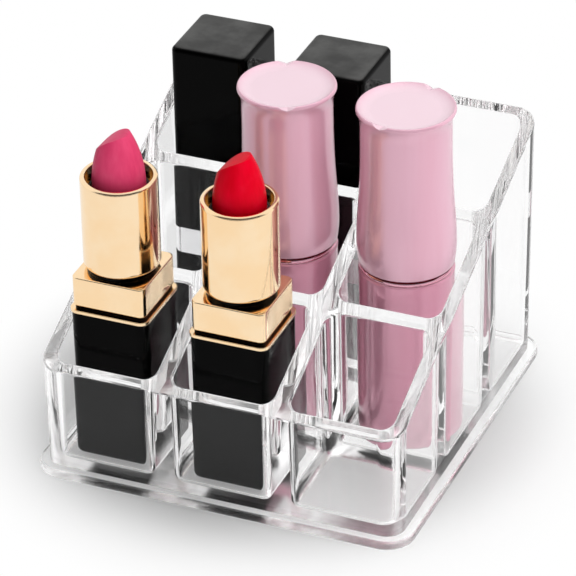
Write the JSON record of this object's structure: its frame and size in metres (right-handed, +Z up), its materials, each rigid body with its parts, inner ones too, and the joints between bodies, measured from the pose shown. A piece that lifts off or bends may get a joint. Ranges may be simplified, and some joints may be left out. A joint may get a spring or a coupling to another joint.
{
  "type": "vanity organizer",
  "caption": "Clear sloping lipstick organizer with square cells, stocked with twist-up lipsticks that lift out, uncap and wind up and down.",
  "frame": {"origin": "centre of the foot plate, on the surface that the holder stands on", "axes": "+X to the right and +Y to the back of the holder as its low front faces you, +Z up"},
  "size_m": [0.096, 0.0978, 0.0906],
  "materials": {
    "clear_plastic": "polished clear moulding",
    "black_plastic": "gloss black",
    "gold_metal": "polished gold anodised",
    "silver_metal": "satin silver",
    "rose_metal": "polished rose anodised",
    "brass_sleeve": "drawn brass",
    "white_plastic": "matt moulding",
    "pink_plastic": "pearl pink",
    "rose_stick": "creamy satin",
    "red_stick": "creamy satin"
  },
  "bodies": {
    "holder": {"holder": "clear_plastic"},
    "rose_lipstick_body": {"rose_lipstick_case": "black_plastic", "rose_lipstick_ledge": "gold_metal", "rose_lipstick_washer": "black_plastic", "rose_lipstick_slotted_sleeve": "black_plastic"},
    "rose_lipstick_twist": {"rose_lipstick_collar": "gold_metal", "rose_lipstick_neck": "black_plastic", "rose_lipstick_tube": "gold_metal", "rose_lipstick_spiral": "brass_sleeve"},
    "rose_lipstick_stick": {"rose_lipstick_cup": "black_plastic", "rose_lipstick_bullet": "rose_stick"},
    "red_lipstick_body": {"red_lipstick_case": "black_plastic", "red_lipstick_ledge": "gold_metal", "red_lipstick_washer": "black_plastic", "red_lipstick_slotted_sleeve": "black_plastic"},
    "red_lipstick_twist": {"red_lipstick_collar": "gold_metal", "red_lipstick_neck": "black_plastic", "red_lipstick_tube": "gold_metal", "red_lipstick_spiral": "brass_sleeve"},
    "red_lipstick_stick": {"red_lipstick_cup": "black_plastic", "red_lipstick_bullet": "red_stick"},
    "left_black_lipstick_body": {"left_black_lipstick_base": "black_plastic", "left_black_lipstick_band": "silver_metal", "left_black_lipstick_slotted_sleeve": "white_plastic"},
    "left_black_lipstick_twist": {"left_black_lipstick_tube": "silver_metal", "left_black_lipstick_spiral": "brass_sleeve"},
    "left_black_lipstick_stick": {"left_black_lipstick_cup": "white_plastic", "left_black_lipstick_bullet": "red_stick"},
    "left_black_lipstick_lid": {"left_black_lipstick_cap": "black_plastic"},
    "right_black_lipstick_body": {"right_black_lipstick_base": "black_plastic", "right_black_lipstick_band": "silver_metal", "right_black_lipstick_slotted_sleeve": "white_plastic"},
    "right_black_lipstick_twist": {"right_black_lipstick_tube": "silver_metal", "right_black_lipstick_spiral": "brass_sleeve"},
    "right_black_lipstick_stick": {"right_black_lipstick_cup": "white_plastic", "right_black_lipstick_bullet": "red_stick"},
    "right_black_lipstick_lid": {"right_black_lipstick_cap": "black_plastic"},
    "left_pink_lipstick_body": {"left_pink_lipstick_base": "pink_plastic", "left_pink_lipstick_seam_ring": "rose_metal", "left_pink_lipstick_slotted_sleeve": "white_plastic"},
    "left_pink_lipstick_twist": {"left_pink_lipstick_tube": "silver_metal", "left_pink_lipstick_spiral": "brass_sleeve"},
    "left_pink_lipstick_stick": {"left_pink_lipstick_cup": "white_plastic", "left_pink_lipstick_bullet": "rose_stick"},
    "left_pink_lipstick_lid": {"left_pink_lipstick_cap": "pink_plastic"},
    "right_pink_lipstick_body": {"right_pink_lipstick_base": "pink_plastic", "right_pink_lipstick_seam_ring": "rose_metal", "right_pink_lipstick_slotted_sleeve": "white_plastic"},
    "right_pink_lipstick_twist": {"right_pink_lipstick_tube": "silver_metal", "right_pink_lipstick_spiral": "brass_sleeve"},
    "right_pink_lipstick_stick": {"right_pink_lipstick_cup": "white_plastic", "right_pink_lipstick_bullet": "rose_stick"},
    "right_pink_lipstick_lid": {"right_pink_lipstick_cap": "pink_plastic"}
  },
  "joints": [
    {"name": "rose_lipstick_lift", "type": "slide", "parent": "holder", "child": "rose_lipstick_body", "axis": [0, 0, 1], "range_m": [0, 0.045]},
    {"name": "rose_lipstick_turn", "type": "hinge", "parent": "rose_lipstick_body", "child": "rose_lipstick_twist", "pos_m": [-0.0299, -0.0305, 0.0035], "axis": [0, 0, 1], "range_deg": [0, 450]},
    {"name": "rose_lipstick_rise", "type": "slide", "parent": "rose_lipstick_body", "child": "rose_lipstick_stick", "axis": [0, 0, 1], "range_m": [-0.016, 0]},
    {"name": "red_lipstick_lift", "type": "slide", "parent": "holder", "child": "red_lipstick_body", "axis": [0, 0, 1], "range_m": [0, 0.045]},
    {"name": "red_lipstick_turn", "type": "hinge", "parent": "red_lipstick_body", "child": "red_lipstick_twist", "pos_m": [0.0006, -0.0305, 0.0035], "axis": [0, 0, 1], "range_deg": [0, 450]},
    {"name": "red_lipstick_rise", "type": "slide", "parent": "red_lipstick_body", "child": "red_lipstick_stick", "axis": [0, 0, 1], "range_m": [-0.016, 0]},
    {"name": "left_black_lipstick_lift", "type": "slide", "parent": "holder", "child": "left_black_lipstick_body", "axis": [0, 0, 1], "range_m": [0, 0.07]},
    {"name": "left_black_lipstick_turn", "type": "hinge", "parent": "left_black_lipstick_body", "child": "left_black_lipstick_twist", "pos_m": [-0.0298, 0.0311, 0.0035], "axis": [0, 0, 1], "range_deg": [-450, 0]},
    {"name": "left_black_lipstick_rise", "type": "slide", "parent": "left_black_lipstick_body", "child": "left_black_lipstick_stick", "axis": [0, 0, 1], "range_m": [0, 0.016]},
    {"name": "left_black_lipstick_cap_pull", "type": "slide", "parent": "left_black_lipstick_body", "child": "left_black_lipstick_lid", "axis": [0, 0, 1], "range_m": [0, 0.05]},
    {"name": "right_black_lipstick_lift", "type": "slide", "parent": "holder", "child": "right_black_lipstick_body", "axis": [0, 0, 1], "range_m": [0, 0.07]},
    {"name": "right_black_lipstick_turn", "type": "hinge", "parent": "right_black_lipstick_body", "child": "right_black_lipstick_twist", "pos_m": [0.0007, 0.0311, 0.0035], "axis": [0, 0, 1], "range_deg": [-450, 0]},
    {"name": "right_black_lipstick_rise", "type": "slide", "parent": "right_black_lipstick_body", "child": "right_black_lipstick_stick", "axis": [0, 0, 1], "range_m": [0, 0.016]},
    {"name": "right_black_lipstick_cap_pull", "type": "slide", "parent": "right_black_lipstick_body", "child": "right_black_lipstick_lid", "axis": [0, 0, 1], "range_m": [0, 0.05]},
    {"name": "left_pink_lipstick_lift", "type": "slide", "parent": "holder", "child": "left_pink_lipstick_body", "axis": [0, 0, 1], "range_m": [0, 0.06]},
    {"name": "left_pink_lipstick_turn", "type": "hinge", "parent": "left_pink_lipstick_body", "child": "left_pink_lipstick_twist", "pos_m": [0, 0, 0.0035], "axis": [0, 0, 1], "range_deg": [-450, 0]},
    {"name": "left_pink_lipstick_rise", "type": "slide", "parent": "left_pink_lipstick_body", "child": "left_pink_lipstick_stick", "axis": [0, 0, 1], "range_m": [0, 0.016]},
    {"name": "left_pink_lipstick_cap_pull", "type": "slide", "parent": "left_pink_lipstick_body", "child": "left_pink_lipstick_lid", "axis": [0, 0, 1], "range_m": [0, 0.05]},
    {"name": "right_pink_lipstick_lift", "type": "slide", "parent": "holder", "child": "right_pink_lipstick_body", "axis": [0, 0, 1], "range_m": [0, 0.06]},
    {"name": "right_pink_lipstick_turn", "type": "hinge", "parent": "right_pink_lipstick_body", "child": "right_pink_lipstick_twist", "pos_m": [0.0299, 0, 0.0035], "axis": [0, 0, 1], "range_deg": [-450, 0]},
    {"name": "right_pink_lipstick_rise", "type": "slide", "parent": "right_pink_lipstick_body", "child": "right_pink_lipstick_stick", "axis": [0, 0, 1], "range_m": [0, 0.016]},
    {"name": "right_pink_lipstick_cap_pull", "type": "slide", "parent": "right_pink_lipstick_body", "child": "right_pink_lipstick_lid", "axis": [0, 0, 1], "range_m": [0, 0.05]}
  ],
  "couplings": [
    {"joint": "rose_lipstick_rise", "follows": "rose_lipstick_turn", "m_per_rad": -0.002037},
    {"joint": "red_lipstick_rise", "follows": "red_lipstick_turn", "m_per_rad": -0.002037},
    {"joint": "left_black_lipstick_rise", "follows": "left_black_lipstick_turn", "m_per_rad": -0.002037},
    {"joint": "right_black_lipstick_rise", "follows": "right_black_lipstick_turn", "m_per_rad": -0.002037},
    {"joint": "left_pink_lipstick_rise", "follows": "left_pink_lipstick_turn", "m_per_rad": -0.002037},
    {"joint": "right_pink_lipstick_rise", "follows": "right_pink_lipstick_turn", "m_per_rad": -0.002037}
  ]
}
